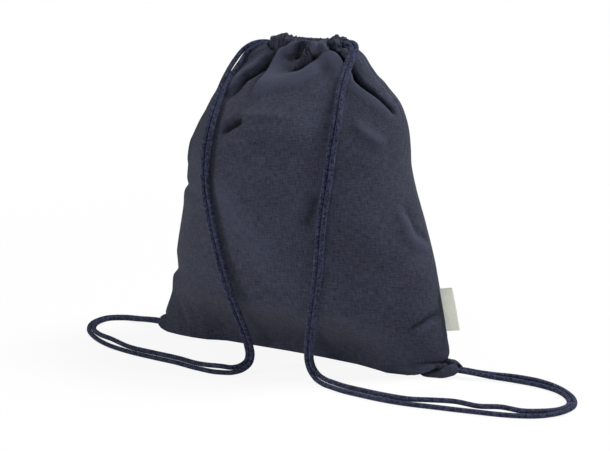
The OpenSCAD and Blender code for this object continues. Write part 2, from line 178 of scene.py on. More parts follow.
class Finish:
    """The nodes of a material or of the room's light, being made"""

    def __init__(self, owner, output):
        owner.use_nodes = True
        self.owner, self.tree, self.output = owner, owner.node_tree, output
        self.tree.nodes.clear()

    def node(self, kind, settings=None, inputs=(), output=0):
        """One node: its settings, then its inputs by place or name, then the output it gives"""
        made = self.tree.nodes.new(kind)
        for key, value in (settings or {}).items():
            setattr(made, key, value)
        pairs = inputs.items() if isinstance(inputs, dict) else enumerate(inputs)
        for key, value in pairs:
            if isinstance(value, Field):
                self.tree.links.new(value.socket, made.inputs[key])
            else:
                made.inputs[key].default_value = value
        return Field(self, made.outputs[output])

    def coordinates(self, output="Object"):
        return self.node("ShaderNodeTexCoord", output=output)

    def part(self, vector, axis):
        return self.node("ShaderNodeSeparateXYZ", inputs=[vector], output=axis)

    def marked(self, name):
        """A number that the mesh keeps at each point"""
        return self.node("ShaderNodeAttribute", {"attribute_name": name}, output="Fac")

    def scaled(self, vector, scale):
        return self.node("ShaderNodeMapping", inputs={"Vector": vector, "Scale": scale})

    def noise(self, vector, scale, detail=2.0):
        return self.node(
            "ShaderNodeTexNoise", inputs={"Vector": vector, "Scale": scale, "Detail": detail}
        )

    def mix(self, factor, low, high):
        """A colour between two"""
        inputs = {MIX_FACTOR: factor, MIX_LOW: low, MIX_HIGH: high}
        return self.node("ShaderNodeMix", {"data_type": "RGBA"}, inputs, MIX_RESULT)

    def bump(self, height, distance, strength=1.0, under=None):
        inputs = {"Height": height, "Distance": distance, "Strength": strength}
        if under:
            inputs["Normal"] = under
        return self.node("ShaderNodeBump", inputs=inputs)

    def surface(self, inputs):
        return self.end(self.node("ShaderNodeBsdfPrincipled", inputs=inputs))

    def end(self, shader):
        out = self.tree.nodes.new(self.output)
        self.tree.links.new(shader.socket, out.inputs["Surface"])
        return self.owner


def material(name):
    return Finish(bpy.data.materials.new(name), "ShaderNodeOutputMaterial")


WEAVE, LABEL_RIB, OVERLOCK = 0.55 * MM, 0.7 * MM, 2.2 * MM      # pitches of threads
SELVEDGE_IN, SELVEDGE_OUT = 1.5 * MM, 0.9 * MM      # from the tape's edges: over this it comes in
POOL, POOL_EDGE = 0.35, 0.9      # from the bag's middle: over this the floor turns plain white
POOL_WHITE = 0.9                 # share of plain white in the floor under the bag


def shade(rgb, factor):
    """The same colour darker or paler"""
    return (*[c * factor for c in rgb], 1.0)


def waves(field, pitch):
    """A wave along a coordinate, with its crests a pitch apart"""
    return (field * (2 * math.pi / pitch)).sine()


def cotton(name, rgb):
    """Plain-woven cotton: slubs along both threads, a fine weave, painted fold shade and
    highlights
    """
    look = material(name)
    uv = look.coordinates("UV")
    across_slub, along_slub = 800, 120
    warp = look.noise(look.scaled(uv, (across_slub, along_slub, 1)), 1.0)
    weft = look.noise(look.scaled(uv, (along_slub, across_slub, 1)), 1.0)
    cloud = look.noise(uv, 24.0, 3.0)
    grain = 0.42 * warp + 0.42 * weft + 0.16 * cloud
    crease = look.marked("crease")
    grain_tone = look.mix((grain - 0.36) * 3.6, shade(rgb, 0.50), shade(rgb, 1.52))
    # Painted highlight: paler on fold ridges and on the hem's gather crests
    with_ridge_highlight = look.mix(crease * -0.6, grain_tone, shade(rgb, 1.8))
    # Painted shade: darker deep in the folds
    base = look.mix(crease * 0.82, with_ridge_highlight, shade(rgb, 0.12))
    weave = waves(look.part(uv, "X"), WEAVE) * waves(look.part(uv, "Y"), WEAVE)
    fine = look.bump(weave, 0.00012, 0.7)
    slub = look.bump(warp + weft, 0.00035, 0.8, fine)
    return look.surface(
        {
            "Base Color": base,
            "Roughness": 0.92,
            "Sheen Weight": 0.05,
            "Sheen Roughness": 0.6,
            "Specular IOR Level": 0.15,
            "Normal": slub,
        }
    )


def braided(name, rgb):
    """Spun yarn on a braid: painted shade in its grooves, fine fibres and paler flecks"""
    look = material(name)
    groove = look.marked("braid")
    fibre = look.noise(look.coordinates(), 1500.0)
    fleck = look.noise(look.coordinates(), 430.0).clamped(0.40, 0.60)
    # Darker in the grooves between strands as painted shade, with random fibres and flecks
    groove_shade_and_flecks = groove * 0.5 + fibre * 0.2 + fleck * 0.75
    base = look.mix(groove_shade_and_flecks - 0.35, shade(rgb, 0.22), shade(rgb, 1.8))
    return look.surface(
        {
            "Base Color": base,
            "Roughness": 0.78,
            "Sheen Weight": 0.05,
            "Sheen Roughness": 0.5,
            "Specular IOR Level": 0.2,
            "Normal": look.bump(fibre, 0.0004, 0.8),
        }
    )


def spun(name, rgb):
    """Sewing thread: a fine, uneven twist"""
    look = material(name)
    twist = look.noise(look.coordinates(), 4200.0)
    return look.surface(
        {
            "Base Color": look.mix(twist, shade(rgb, 0.8), shade(rgb, 1.5)),
            "Roughness": 0.6,
            "Normal": look.bump(twist, 0.0001, 0.5),
        }
    )


def tape(name, rgb):
    """Soft woven tape: fine ribs across it, a slight mottle and a darker selvedge"""
    look = material(name)
    place = look.coordinates()
    ribs = waves(look.part(place, "Z"), LABEL_RIB)
    mottle = look.noise(place, 500.0, 3.0)
    along = look.part(look.coordinates("UV"), "Y")
    low = along.clamped(SELVEDGE_IN, SELVEDGE_OUT)
    high = along.clamped(TAPE - SELVEDGE_IN, TAPE - SELVEDGE_OUT)
    woven = look.mix(mottle, shade(rgb, 0.86), shade(rgb, 1.12))
    return look.surface(
        {
            "Base Color": look.mix((low + high) * 0.5, woven, shade(rgb, 0.75)),
            "Roughness": 0.8,
            "Sheen Weight": 0.15,
            "Normal": look.bump(ribs, 0.00008, 0.5, look.bump(mottle, 0.0002, 0.4)),
        }
    )


def seam_cloth(name, rgb):
    """The same cotton with its overlocked edge: loops of thread across it"""
    look = material(name)
    place = look.coordinates()
    grain = look.noise(place, 900.0, 3.0)
    loops = waves(look.part(place, "Z"), OVERLOCK)
    return look.surface(
        {
            "Base Color": look.mix(grain, shade(rgb, 0.75), shade(rgb, 1.3)),
            "Roughness": 0.9,
            "Normal": look.bump(loops, 0.0004, 0.6, look.bump(grain, 0.0002, 0.6)),
        }
    )


def studio_floor(name, rgb):
    """A floor that looks white where nothing shades it, and keeps the object's shadow"""
    look = material(name)
    matt = look.node("ShaderNodeBsdfDiffuse", inputs={"Color": shade(rgb, 1)})
    white = look.node("ShaderNodeEmission", inputs={"Color": (1, 1, 1, 1), "Strength": 1.0})
    rays = ("Is Camera Ray", "Is Glossy Ray", "Is Transmission Ray")
    seen = [look.node("ShaderNodeLightPath", output=ray) for ray in rays]
    length_of = {"operation": "LENGTH"}
    away = look.node("ShaderNodeVectorMath", length_of, [look.coordinates()], output="Value")
    whiter = POOL_WHITE + away.clamped(POOL, POOL_EDGE) * (1 - POOL_WHITE)
    glow = (seen[0] + seen[1] + seen[2]) * whiter
    return look.end(look.node("ShaderNodeMixShader", inputs=[glow, matt, white]))


# ---- Meshes ----


def cloth_grid(columns, rows):
    """A flat sheet of quads from (0, 0) to (1, 1)"""
    bm = bmesh.new()
    bmesh.ops.create_grid(bm, x_segments=columns, y_segments=rows, size=0.5)
    bmesh.ops.translate(bm, verts=bm.verts, vec=(0.5, 0.5, 0))
    return bm


def flat_places(bm):
    """Where each point is on the flat sheet, across it and up it"""
    return np.array([v.co[:2] for v in bm.verts]).T


def mark(bm, name, values):
    """Keeps a number at each point for a material to read"""
    layer = bm.verts.layers.float.new(name)
    for vert, value in zip(bm.verts, values):
        vert[layer] = value


def move_to(bm, points):
    for vert, point in zip(bm.verts, points):
        vert.co = point


def lay_uv(bm, width, height):
    """Keeps each point's place on the flat cloth, in metres, for the weave"""
    layer = bm.loops.layers.uv.new("UVMap")
    for face in bm.faces:
        for loop in face.loops:
            loop[layer].uv = (loop.vert.co.x * width, loop.vert.co.y * height)


def turned_over(bm, points):
    """The back of the bag is the front turned over in Y"""
    bmesh.ops.reverse_faces(bm, faces=bm.faces)
    return points * (1, -1, 1)


def finished(bm, name, surface, body="bag", stands_for=()):
    """Makes the mesh a piece that rides on a body"""
    mesh = bpy.data.meshes.new(name)
    bm.to_mesh(mesh)
    bm.free()
    mesh.polygons.foreach_set("use_smooth", [True] * len(mesh.polygons))
    piece = bpy.data.objects.new(name, mesh)
    bpy.context.scene.collection.objects.link(piece)
    piece.data.materials.append(surface)
    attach(piece, body)
    if stands_for:
        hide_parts(*stands_for)
    return piece


def thicken(piece, thickness, offset=-1.0):
    wall = piece.modifiers.new("Thickness", "SOLIDIFY")
    wall.thickness = thickness
    wall.offset = offset
    wall.use_even_offset = False


def ease(t):
    t = np.clip(t, 0, 1)
    return t * t * (3 - 2 * t)


def ramp(value, start, over):
    """Rises smoothly from 0 at the start to 1 at a distance over which it rises"""
    return ease((value - start) / over)


def unit(v):
    return v / np.maximum(np.linalg.norm(v, axis=-1, keepdims=True), 1e-12)


# ---- The bag's surface ----

DUCT_Y, DUCT_Z = 0.0073, 0.0138    # half width and height of the duct in a corner tip
DUCT_ROUND = 1.9                   # power that rounds the duct
TIP_FADE = 0.003                   # height over which a tip fades into the side
CORNER_FROM = 0.7                  # share of the half width where the corner tips begin
SIDE_BEND = 1.5                    # how quickly the sides' own shape dies away from the seams
EDGE_FADE = 0.075                  # height over which the floor edge's own line fades
SETTLE_Z = 0.060                   # height where the floor's shape has faded
# The two powers that round the section on the floor, in the body and at the mouth
FLOOR_FULL, BODY_FULL, MOUTH_FULL = (3.2, 0.85), (2.0, 0.6), (2.0, 0.5)

# The corner tips are off the floor at their ends, and drawn down onto their cords. Each pair
# is where a change starts and the distance over which it comes
TIP_LIFT, TIP_PINCH = 0.0045, 0.6
TIP_RISE, TIP_RISE_FADE = (0.160, 0.019), (0.0125, 0.008)
TIP_DRAW, TIP_DRAW_TOP = (0.168, 0.011), 0.022

# How far each side stands outside the even shape: height and distance in millimetres
LEFT_SIDE = [
    (0, -8), (3, -4), (7, -3.5), (11, -5), (15, 1), (20, 4), (33, 1), (50, -3), (66, -2),
    (77, -7), (86, -5), (100, -1.5), (150, 0), (166, 2), (175, -1.5), (184, 2), (210, 4),
    (225, 3), (240, -1), (256, -5), (272, -3), (288, 0), (302, 5), (310, 8), (317.5, 5),
]
RIGHT_SIDE = [
    (0, -6), (4, -1), (8, 0), (11, -0.5), (13.6, -3), (17, -1.5), (26, 1.6), (35, 1.2),
    (46, 0.3), (60, 0.3), (80, 0.3), (95, 0.3), (110, 0.5), (150, -1.5), (185, -5), (208, -6),
    (225, -4), (250, -1), (270, 0), (290, -5), (303, -3), (311, 3), (317.5, 5),
]
# How far the panels stand up beside the hem's left and right ends, and where that comes in
SHOULDER_LIFT = 0.0065, 0.0075
SHOULDER_OUT, SHOULDER_UP = (0.70, 0.28), (0.296, 0.018)


class Body:
    """The bag's outer surface between its stations"""

    def __init__(self, shape):
        rows = [shape.base, shape.heel, shape.hip, shape.belly,
                shape.chest, shape.shoulder, shape.yoke, shape.mouth]
        self.stations = np.array([row[:] for row in rows]) * (1, 0.5, 0.5)
        self.shift = shape.mouth_shift
        self.tip = shape.tip
        self.belly_z, self.chest_z, self.yoke_z = (
            row[0] for row in (shape.belly, shape.chest, shape.yoke))
        self.left, self.right = np.array(LEFT_SIDE) * MM, np.array(RIGHT_SIDE) * MM

    def profile(self, z, column):
        return through(self.stations[:, (0, column)], z)

    def closing(self, z):
        """From 0 where the bag starts to close to 1 at the hem"""
        return ramp(z, self.chest_z, HEM_Z - self.chest_z)

    def half_width(self, z):
        return self.profile(z, 1)

    def corner(self, s, z):
        """How far the corner tips draw the cloth out sideways"""
        drawn = self.tip * (1 - ramp(z, DUCT_Z, TIP_FADE))
        return drawn * np.sign(s) * ramp(np.abs(s), CORNER_FROM, 1 - CORNER_FROM)

    def middle(self, z):
        return self.shift * self.closing(z)

    def fullness(self, power, z):
        """A power that rounds the section: fuller on the floor, leaner at the mouth"""
        floor, body, mouth = FLOOR_FULL[power], BODY_FULL[power], MOUTH_FULL[power]
        settled = (body - floor) * ease(z / SETTLE_Z)
        closed = ramp(z, self.belly_z, self.yoke_z - self.belly_z)
        return floor + settled + (mouth - body) * closed

    def at(self, s, z, edge=None):
        """Where the front panel is at a share s of its half width, and a height"""
        duct = DUCT_Y * np.clip(1 - (z / DUCT_Z) ** DUCT_ROUND, 0, 1) ** (1 / DUCT_ROUND)
        lens = np.clip(1 - np.abs(s) ** self.fullness(0, z), 0, 1) ** self.fullness(1, z)
        x = self.middle(z) + s * self.half_width(z) + self.corner(s, z)
        sides = np.where(s < 0, through(self.left, z), through(self.right, z))
        x += sides * np.sign(s) * np.abs(s) ** SIDE_BEND
        depth = duct + (self.profile(z, 2) - duct) * lens
        if edge is not None:
            line = np.interp(x, *np.array(edge).T * MM)
            depth += (np.minimum(line, depth) - depth) * (1 - ease(z / EDGE_FADE))
        lift = TIP_LIFT * ramp(np.abs(x), *TIP_RISE) * (1 - ramp(z, *TIP_RISE_FADE))
        drawn = TIP_PINCH * ramp(np.abs(x), *TIP_DRAW) * (z < TIP_DRAW_TOP)
        lift = lift - drawn * np.maximum(z + lift - SEWN * MM, 0)
        shoulder = np.where(s < 0, *SHOULDER_LIFT)
        lift = lift + shoulder * ramp(np.abs(s), *SHOULDER_OUT) * ramp(z, *SHOULDER_UP)
        return np.stack([x, -depth, z + lift], axis=-1)

    def share(self, x, z):
        """The share of the half width at which the front panel is at x, at each height"""
        s = np.linspace(-1, 1, 401)
        rows = [self.at(s, np.full(len(s), height))[:, 0] for height in z]
        return np.array([np.interp(place, row, s) for place, row in zip(x, rows)])

    def wall(self, u, z, edge=None):
        """Where the front panel is at a share u of its cut width: columns crowd towards
        the seams low down and lie evenly at the hem"""
        closing = self.closing(z)
        crowded = np.sin(math.pi * (u - 0.5))
        return self.at((1 - closing) * crowded + closing * (2 * u - 1), z, edge)

    def outward(self, u, z, edge=None):
        """The direction that faces out of the bag"""
        du, dz = 0.002, 0.5 * MM
        right, left = (self.wall(np.clip(u + step, 0, 1), z, edge) for step in (du, -du))
        above, below = (self.wall(u, np.clip(z + step, 0, HEM_Z), edge) for step in (dz, -dz))
        return unit(np.cross(right - left, above - below))


# ---- Curves ----


def hermite(start, leaving, end, arriving, t):
    """A cubic between two values, with the slopes that it leaves and arrives with"""
    return ((2 * t**3 - 3 * t * t + 1) * start + (t**3 - 2 * t * t + t) * leaving
            + (3 * t * t - 2 * t**3) * end + (t**3 - t * t) * arriving)


def through(rows, z):
    """A line through rows of height and size that never overshoots them"""
    heights, size = rows.T
    slope = np.diff(size) / np.diff(heights)
    low, high = slope[:-1], slope[1:]
    turns = low * high <= 0
    inner = np.where(turns, 0, 2 * low * high / np.where(turns, 1, low + high))
    tangent = np.concatenate([slope[:1], inner, slope[-1:]])
    z = np.clip(z, heights[0], heights[-1])
    k = np.clip(np.searchsorted(heights, z, side="right") - 1, 0, len(heights) - 2)
    gap = heights[k + 1] - heights[k]
    t = (z - heights[k]) / gap
    return hermite(size[k], gap * tangent[k], size[k + 1], gap * tangent[k + 1], t)


def smooth(points, step):
    """A smooth curve through rows that start with a place, its slopes weighted by distance"""
    gaps = np.linalg.norm(np.diff(points[:, :3], axis=0), axis=1)[:, None]
    legs = np.diff(points, axis=0) / gaps
    before, after = gaps[:-1], gaps[1:]
    inner = (legs[:-1] * after + legs[1:] * before) / (before + after)
    slope = np.vstack([legs[:1], inner, legs[-1:]])
    out = []
    for i, gap in enumerate(gaps[:, 0]):
        count = max(1, round(gap / step))
        t = np.arange(count)[:, None] / count
        out.append(hermite(points[i], gap * slope[i], points[i + 1], gap * slope[i + 1], t))
    return np.vstack([*out, points[-1:]])


def travelled(points):
    """How far each point is along its curve"""
    steps = np.linalg.norm(np.diff(points[:, :3], axis=0), axis=1)
    return np.concatenate([[0], np.cumsum(steps)])


def evenly(points, step):
    """The same curve with its points about a step apart"""
    way = travelled(points)
    count = max(2, round(way[-1] / step))
    marks = np.linspace(0, way[-1], count + 1)
    return np.stack([np.interp(marks, way, points[:, c]) for c in range(points.shape[1])], axis=1)


def along(points):
    """The direction of a curve at each of its points"""
    return unit(np.gradient(points, axis=0))


# ---- Drawstrings ----

CLOSE = 5.2                         # distance between a strap's two cords where they touch
LIE = 2.6                           # height of a cord's middle on the floor
SEWN = 8.0                          # height of a cord's middle in a corner tip
LOW_CORD, HIGH_CORD = 325.1, 330.4  # heights of the left and the right drawstring in the hem
MOUTH_X, MOUTH_Y = 41.0, 13.0       # half width and half depth of the hem channels' middle line
EXIT_S = 0.9096                     # share of that half width at which the channels end
EXIT_Y, EXIT_X = 5.4, 40.6          # where the cords leave them
TIP_X = 179.3                       # where the cords go into the corner tips
SEWN_LENGTH = 14.0                  # length of cord that is held in a tip
HEM_RUN, TIP_RUN = 2.4, 5.0         # how far a strap's cords run on into the hem and the tips
END_GAP = 0.3                       # room behind the cut ends of the sewn cords
STRAP_STEP = 1.5 * MM               # distance between the points of a strap's curve
LOOP_POINTS, END_POINTS = 90, 12    # points of a drawstring's loop in the hem and a sewn end


def lie(lean, spread=CLOSE):
    """Height of a strap's middle line where its lower cord lies on the floor"""
    return LIE + spread / 2 * math.sin(math.radians(lean))


# Each strap's middle line: x, y, z in millimetres, how far the side that faces away from
# what it lies on leans from up (0) to the front (90), and the distance between its cords
LEFT_ROUTE = [
    (SHIFT - EXIT_X, 0, LOW_CORD, 0, 2 * EXIT_Y), (-36.5, 0, 325.3, 0, 2 * EXIT_Y),
    (-43, -1, 325.4, 6, 9.8), (-51, -4.5, 323.5, 20, 8), (-59, -10, 317.5, 42, 6.8),
    (-64.5, -18, 307, 58, 7.2), (-68.5, -28, 295.5, 66, 6), (-70, -39, 284, 70),
    (-69, -51, 272, 75), (-68, -66, 254, 80), (-69, -77, 225, 90), (-67, -83, 195, 90),
    (-61, -86, 164, 90), (-55, -84, 131, 90), (-50, -82, 108, 90), (-44, -79, 83, 90),
    (-35, -77, 57, 90), (-28, -76, 40, 90), (-24, -75, 26, 90), (-22, -76, 17, 87),
    (-22.5, -79, 10.5, 80), (-25.5, -85, 6.6, 70), (-32, -92.5, lie(60), 60),
    (-45, -98, lie(53, 6.6), 53, 6.6), (-70, -98, lie(50), 50), (-98, -93, lie(50), 50),
    (-130, -90, lie(50), 50), (-162, -86, lie(50), 50), (-192, -77, lie(45, 7.5), 45, 7.5),
    (-218, -63, lie(30, 6), 30, 6), (-238, -44, lie(10), 10), (-247, -22, LIE, 0),
    (-243, -4, LIE, 0), (-228, 6, LIE, 0), (-207, 5, 4.6, 0), (-192, 1, SEWN - 0.8, 0),
    (-TIP_X - 4, 0, SEWN, 0), (-TIP_X, 0, SEWN, 0),
]
RIGHT_ROUTE = [
    (SHIFT + EXIT_X, 0, HIGH_CORD, 0, 2 * EXIT_Y), (50.4, 0, HIGH_CORD, 0, 10.2),
    (54, -0.8, 329.9, 5, 7.2), (57.3, -2.7, 328.4, 13, 5.2), (59.9, -6.2, 325.8, 35, 4.7),
    (60.8, -11.6, 321.4, 60, 4.7), (61, -20, 314, 75, 4.8), (61.5, -31, 303, 80),
    (63, -43, 291, 82), (66, -55, 277, 85), (68, -64, 264, 87), (68, -75, 237, 90),
    (67, -82, 209, 90),
    (64, -86, 180, 90), (61, -86, 150, 90), (58, -84, 119, 90), (52, -80, 86, 90),
    (47, -78, 54, 90), (45, -77, 31, 90), (45.5, -76.5, 21, 87), (48.5, -77, 13.5, 80),
    (54.5, -78.5, 7.6, 70), (64, -82, lie(60), 60), (76, -86.5, lie(54), 54),
    (88, -90, lie(50), 50), (110, -93, lie(50), 50), (134, -95, lie(50), 50),
    (160, -94, lie(50), 50), (184, -90, lie(50, 7), 50, 7), (203, -87, lie(50, 8), 50, 8),
    (226, -84, lie(50, 6), 50, 6), (247, -80, lie(50, 7.5), 50, 7.5), (266, -75, lie(45), 45),
    (284, -65, lie(35), 35), (296, -51, lie(20), 20), (301, -32, lie(5), 5), (295, -13, LIE, 0),
    (280, 2, lie(10), 10), (258, 10, lie(20, 6), 20, 6), (232, 10, 4.4, 20, 6),
    (207, 6, 5.2, 10), (192, 1.5, SEWN - 0.8, 0), (TIP_X + 4, 0, SEWN, 0), (TIP_X, 0, SEWN, 0),
]


def strap_cord(route, side, step):
    """One cord of a strap: its middle line, and the direction that faces away from the bag"""
    rows = np.array([(*row, CLOSE)[:5] for row in route]) * (MM, MM, MM, math.pi / 180, MM)
    rows = smooth(rows, step)
    inwards = -math.copysign(MM, route[-1][0])
    into_hem = rows[:1] + (HEM_RUN * inwards, 0, 0, 0, 0)
    into_tip = rows[-1:] + (TIP_RUN * inwards, 0, 0, 0, 0)
    rows = np.vstack([into_hem, rows, into_tip])
    middle, lean = rows[:, :3], rows[:, 3]
    ups = np.stack([0 * lean, -np.sin(lean), np.cos(lean)], axis=1)
    aside = unit(np.cross(along(middle), ups))
    return middle + side * rows[:, 4:5] / 2 * aside, ups


CROWN = 0.8           # share of a groove's depth that lies inside the cord's nominal radius


def braided_tube(points, ups, cords):
    """A closed tube with strands that wind both ways and pass over each other in turn"""
    sides, strands, pitch = cords.sides, cords.strands, cords.pitch
    line = evenly(np.hstack([points, ups]), pitch * strands / sides)
    rings = len(line) - 1
    bm = cloth_grid(sides, rings)
    u, v = flat_places(bm)
    ring = np.rint(v * rings).astype(int)
    turn = np.rint(u * sides) * strands / sides
    way = ring * strands / sides
    p, q = turn + way, turn - way
    across, over = 2 * (p % 1) - 1, 2 * (q % 1) - 1
    swap = (np.floor(p) + np.floor(q)) % 2 == 1
    across, over = np.where(swap, over, across), np.where(swap, across, over)
    height = np.clip(1 - across**2, 0, 1) ** 0.5 * np.clip(1 - over**2, 0, 1) ** 0.3
    ends = np.minimum(ring, rings - ring) * pitch * strands / sides
    rounded = np.where(ring % rings == 0, 0, 1 - 0.25 * (1 - ease(ends / cords.rim / 2)))
    radius = (cords.diameter / 2 + cords.relief * (height - CROWN)) * rounded
    middle, up = line[:, :3], line[:, 3:]
    tangent = along(middle)
    aside = unit(np.cross(tangent, up))
    up = np.cross(aside, tangent)
    angle = 2 * math.pi * np.rint(u * sides) / sides
    move_to(bm, middle[ring] + radius[:, None] * (
        np.cos(angle)[:, None] * aside[ring] + np.sin(angle)[:, None] * up[ring]))
    # The strands' height, which the cord's material also uses for painted shade in the grooves
    mark(bm, "braid", height)
    bmesh.ops.remove_doubles(bm, verts=bm.verts, dist=0.01 * MM)
    bmesh.ops.recalc_face_normals(bm, faces=bm.faces)
    return bm


def level_tube(points, cords):
    return braided_tube(points, np.tile((0.0, 0.0, 1.0), (len(points), 1)), cords)


# ---- Gathers and folds ----


def gathers(s):
    """Fine pleats round the mouth, uneven in width and height, from -1 to 1"""
    fine = np.sin(2 * math.pi * (12.6 * s + 0.32 * np.sin(7.1 * s + 0.4)))
    slow = np.sin(2 * math.pi * (7.9 * s + 0.27 * np.sin(4.3 * s + 1.1)))
    return 0.62 * fine + 0.38 * slow


def gather_depth(s):
    """The gathers are deepest towards the left end of the mouth"""
    return np.interp(s, (-1, -0.45, -0.1, 0.5, 1), (1.5, 1.4, 0.9, 0.8, 1.1)) * MM


def pleats(s):
    """The wider pleats that the gathers run together into"""
    return np.sin(2 * math.pi * (3.7 * s + 0.30 * np.sin(3.1 * s + 0.7)))


class Fold:
    """A ridge that stands over a groove on its right, through places on a panel

    Sizes are in millimetres, and places are x and z as seen from outside. Ridge and groove
    are its height and depth, soft and sharp how far it spreads to the left and the right, lap
    how far the ridge leans over the groove, and ends the shares of its length that fade.
    """

    def __init__(self, places, ridge, groove, soft, sharp, lap=0.0, ends=(0.3, 0.3)):
        self.places = np.array(places, float) * MM
        self.ridge, self.groove, self.lap = ridge * MM, groove * MM, lap * MM
        self.soft, self.sharp = soft * MM, sharp * MM
        self.ends = ends

    def shift(self, points, outward, body):
        """How far the fold moves each point"""
        x, z = self.places.T
        line = smooth(body.at(body.share(x, z), z), 3 * MM)
        way = travelled(line)
        best = np.full(len(points), np.inf)
        side, part, flat = np.zeros((3, len(points)))
        right = np.zeros_like(points)
        for a, b, start in zip(line[:-1], line[1:], way):
            leg = b - a
            t = np.clip((points - a) @ leg / (leg @ leg), 0, 1)
            off = points - (a + t[:, None] * leg)
            away = np.linalg.norm(off, axis=1)
            near = away < best
            best[near] = away[near]
            to_right = unit(np.cross(leg, outward[near]))
            right[near] = to_right
            side[near] = np.sum(off[near] * to_right, axis=1)
            rise = np.sum(off[near] * outward[near], axis=1)
            flat[near] = np.sqrt(np.clip(away[near] ** 2 - rise**2, 0, None))
            part[near] = (start + t[near] * np.linalg.norm(leg)) / way[-1]
        ends = ease(part / self.ends[0]) * ease((1 - part) / self.ends[1])
        fade = ends * np.exp(-(((flat**2 - side**2).clip(0) ** 0.5 / self.soft) ** 2))
        width = np.where(side < 0, self.soft, self.sharp)
        rise = self.ridge * np.exp(-((side / width) ** 2))
        sink = self.groove * np.exp(-(((side - 1.6 * self.sharp) / self.sharp) ** 2))
        push = self.lap * np.exp(-((side / np.where(side < 0, self.soft, 1.3 * self.sharp)) ** 2))
        return fade * (rise - sink), (fade * push)[:, None] * right


def folded(points, outward, folds, body, deepest=math.inf):
    """How far all the folds together move each point, and how far out they push it"""
    out, aside = np.zeros(len(points)), np.zeros_like(points)
    for fold in folds:
        moved, pushed = fold.shift(points, outward, body)
        out, aside = out + moved, aside + pushed
    return np.maximum(out, -deepest)[:, None] * outward + aside, out


FRONT_FOLDS = [
    # The left flap, over a pocket
    Fold([(-72, 268), (-62, 284), (-54, 297), (-43, 304), (-35, 311), (-26, 316), (-14, 320)],
         4.0, 9, 9, 5, 3, (0.35, 0.15)),
    # The left edge of the middle lobe, over the same pocket
    Fold([(10, 335), (3, 329), (-4, 324), (-12, 316), (-16, 307), (-19, 296), (-26, 284),
          (-36, 268)], 5.5, 5, 12, 4, 3.5, (0.1, 0.45)),
    # The slit in the gathers and below them, and the hollow beside it
    Fold([(9, 331), (8, 326), (6.5, 321), (5, 312)], -13, 0, 2.6, 2.6, 0, (0.2, 0.15)),
    Fold([(10, 333), (9, 327), (8.2, 321), (7.8, 317.5)], -14, 0, 2.0, 2.0, 0, (0.1, 0.15)),
    Fold([(7, 321), (2, 315), (-4, 309)], -4, 0, 3.5, 3.5),
    # The small ridge between the slit and the tongue, and the tongue
    Fold([(21, 313), (17, 316.5), (13, 321), (10.8, 328)], 3, 4, 1.9, 1.8, 0, (0.2, 0.2)),
    Fold([(24, 336), (23, 329), (24, 321), (25, 314)], 4.5, 0, 5, 5, 0, (0.2, 0.3)),
    # The rim below the tongue, over a hollow
    Fold([(37, 320), (30, 312), (21, 305), (12, 300), (3, 299), (-6, 302)],
         3.5, 6, 10, 4.6, 2, (0.2, 0.25)),
    # The right edge of the middle lobe, over a slot, and the two flaps beyond it
    Fold([(68, 290), (60, 300), (53, 307), (44, 314), (36, 320), (32, 326), (28, 332), (25, 336)],
         5, 8, 10, 2.8, 2.5, (0.3, 0.08)),
    Fold([(33, 328), (41, 324.5), (48, 319.5), (52, 315)], 3.5, 3.5, 3.4, 2.2, 1),
    Fold([(33, 336), (38, 332.5), (43, 330), (48, 327)], 3, 3.5, 3, 2, 1),
    Fold([(42, 334), (46, 331), (48, 328)], -3, 0, 2, 2),
    Fold([(-29, 320), (-26, 322), (-23, 326)], -4, 0, 2.4, 2.4),
    # The right shoulder, over a deep fold
    Fold([(109, 258), (99, 270), (89, 279), (74, 289), (63, 297), (55, 305)],
         4.5, 13, 9, 3.8, 2.5, (0.25, 0.12)),
    Fold([(112, 270), (103, 282), (92, 292), (79, 301), (68, 309)], 3, 0, 6, 6, -2),
    # The shoulder below the gathers, and the bright folds of the right shoulder
    Fold([(-36, 281), (-23, 286), (-8, 291), (10, 294), (24, 302), (34, 310)],
         3.2, 0, 9, 9, 0, (0.2, 0.2)),
    Fold([(74, 266), (84, 257), (95, 247), (106, 236)], 3, 0, 6, 6),
    # Dimples and creases on the body
    Fold([(-61, 247), (-54, 252), (-46, 257), (-38, 262), (-32, 265)], 1, 8, 8, 4.2),
    Fold([(-52, 244), (-26, 241), (-5, 238)], 2, 0, 5, 5),
    Fold([(-40, 259), (-11, 264), (13, 264), (30, 260)], 1.8, 0, 5, 5),
    # The dent beside the right strap, and the creases of the right side
    Fold([(30, 158), (36, 174), (40, 190), (42, 204)], 2, 3.5, 9, 8),
    Fold([(150, 121), (141, 131), (131, 145), (124, 162), (114, 178)], 4, 2.5, 8, 5),
    Fold([(-112, 196), (-114, 216), (-108, 232)], 1.8, 0.8, 6, 4),
    Fold([(-80, 225), (-50, 190), (-10, 140), (26, 96)], 2.4, 0, 22, 22),
    Fold([(160, 64), (148, 56), (132, 46)], 2.2, 3.5, 9, 3.5),
    Fold([(-135, 50), (-130, 30), (-127, 12)], 1.2, 1.2, 9, 5),
    # The fold where the right corner tip comes out from under the body
    Fold([(124, 0), (136, 4.5), (147, 9.5), (157, 15), (168, 22)], 2, 8, 7, 2.6, 2, (0.3, 0.1)),
]
BACK_FOLDS = [
    Fold([(-72, 262), (-58, 288), (-44, 303), (-26, 317), (-18, 325)], 4, 6, 12, 5, 2),
    Fold([(26, 330), (34, 316), (44, 304), (55, 290), (66, 268)], 5, 6, 12, 4.5, 2),
    Fold([(-2, 328), (-4, 316), (-8, 303)], -4, 0, 3, 3),
    Fold([(14, 330), (11, 316), (8, 300), (10, 274)], 4, 4, 9, 4, 1.5),
    Fold([(-14, 330), (-20, 314), (-28, 298)], 3.5, 3, 7, 3.5, 1),
    Fold([(-96, 236), (-82, 262), (-64, 288), (-52, 306)], 2, 4, 10, 5, 1),
    Fold([(72, 250), (84, 236), (92, 214)], 1.5, 2, 12, 6),
    Fold([(-150, 60), (-138, 50), (-120, 44)], 1.5, 1.5, 9, 4),
]
